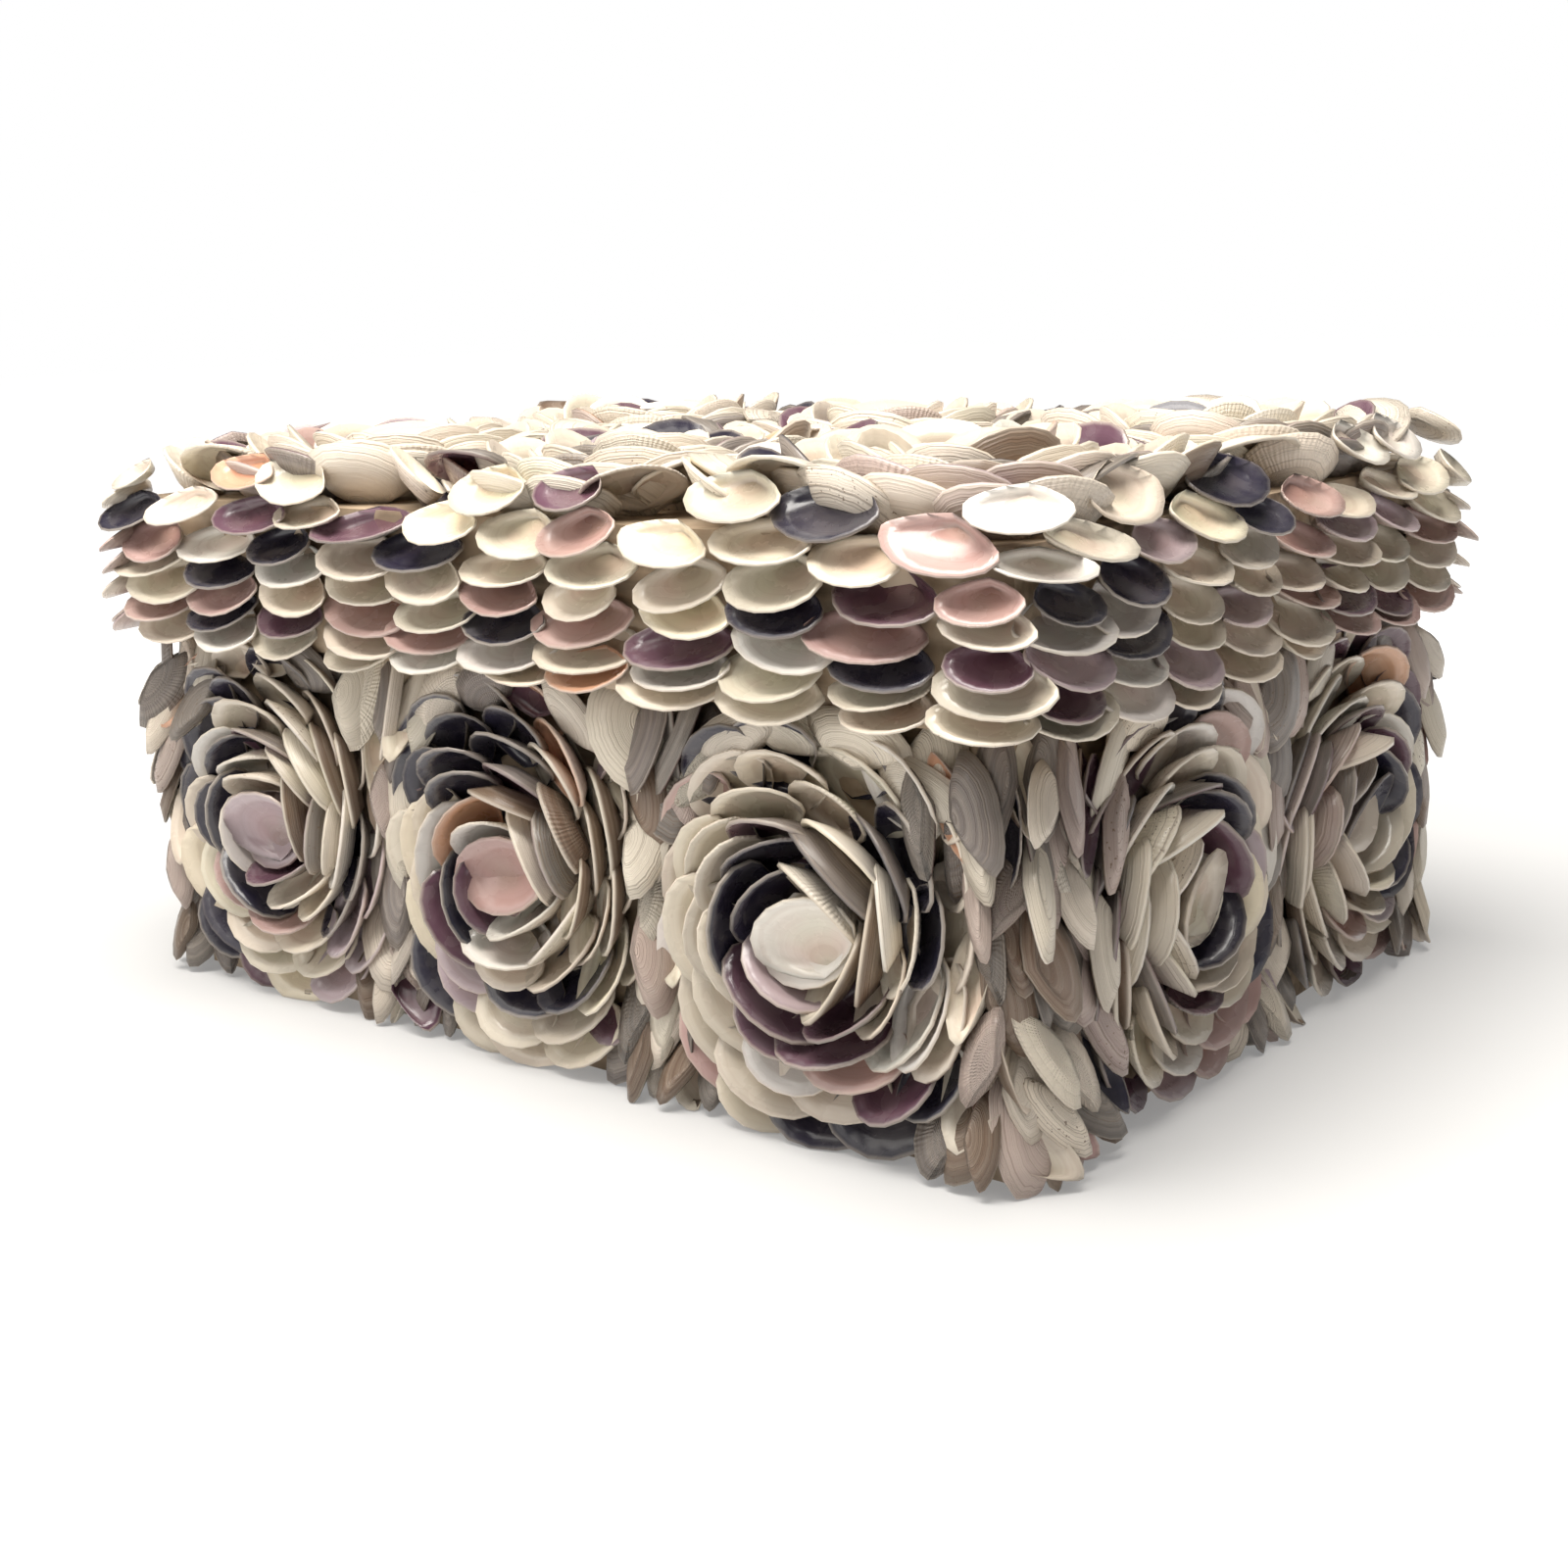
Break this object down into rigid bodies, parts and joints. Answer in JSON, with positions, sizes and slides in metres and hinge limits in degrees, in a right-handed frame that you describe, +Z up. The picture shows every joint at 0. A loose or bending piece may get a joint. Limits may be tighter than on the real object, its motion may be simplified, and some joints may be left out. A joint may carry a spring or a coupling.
{
  "type": "shell box",
  "caption": "Rectangular keepsake box with a lift-off lid, its walls, rim and top covered in roses and rows of small clam shells.",
  "frame": {"origin": "middle of the underside, on the surface it stands on", "axes": "+X along the long side, +Y along the short side, +Z up; the long walls face -Y and +Y"},
  "size_m": [0.3096, 0.2386, 0.1543],
  "materials": {
    "board": "matt board with dried glue",
    "cream_shell": "polished shell, ivory to violet",
    "violet_shell": "polished shell, violet and ivory",
    "grey_shell": "outer side of shell, satin, with growth lines"
  },
  "bodies": {
    "root": {"box": "board", "corner_1": "grey_shell", "corner_2": "grey_shell", "corner_3": "grey_shell", "corner_4": "grey_shell", "lid": "board", "rim_back": "violet_shell", "rim_front": "violet_shell", "rim_left": "violet_shell", "rim_right": "violet_shell", "rose_back_1": "cream_shell", "rose_back_2": "cream_shell", "rose_back_3": "cream_shell", "rose_front_1": "cream_shell", "rose_front_2": "cream_shell", "rose_front_3": "cream_shell", "rose_left_1": "cream_shell", "rose_left_2": "cream_shell", "rose_lid_1": "cream_shell", "rose_lid_2": "cream_shell", "rose_lid_3": "cream_shell", "rose_lid_4": "cream_shell", "rose_lid_5": "cream_shell", "rose_lid_6": "cream_shell", "rose_right_1": "cream_shell", "rose_right_2": "cream_shell", "strip_back_1": "grey_shell", "strip_back_2": "grey_shell", "strip_front_1": "grey_shell", "strip_front_2": "grey_shell", "strip_left_1": "grey_shell", "strip_right_1": "grey_shell"}
  },
  "joints": []
}
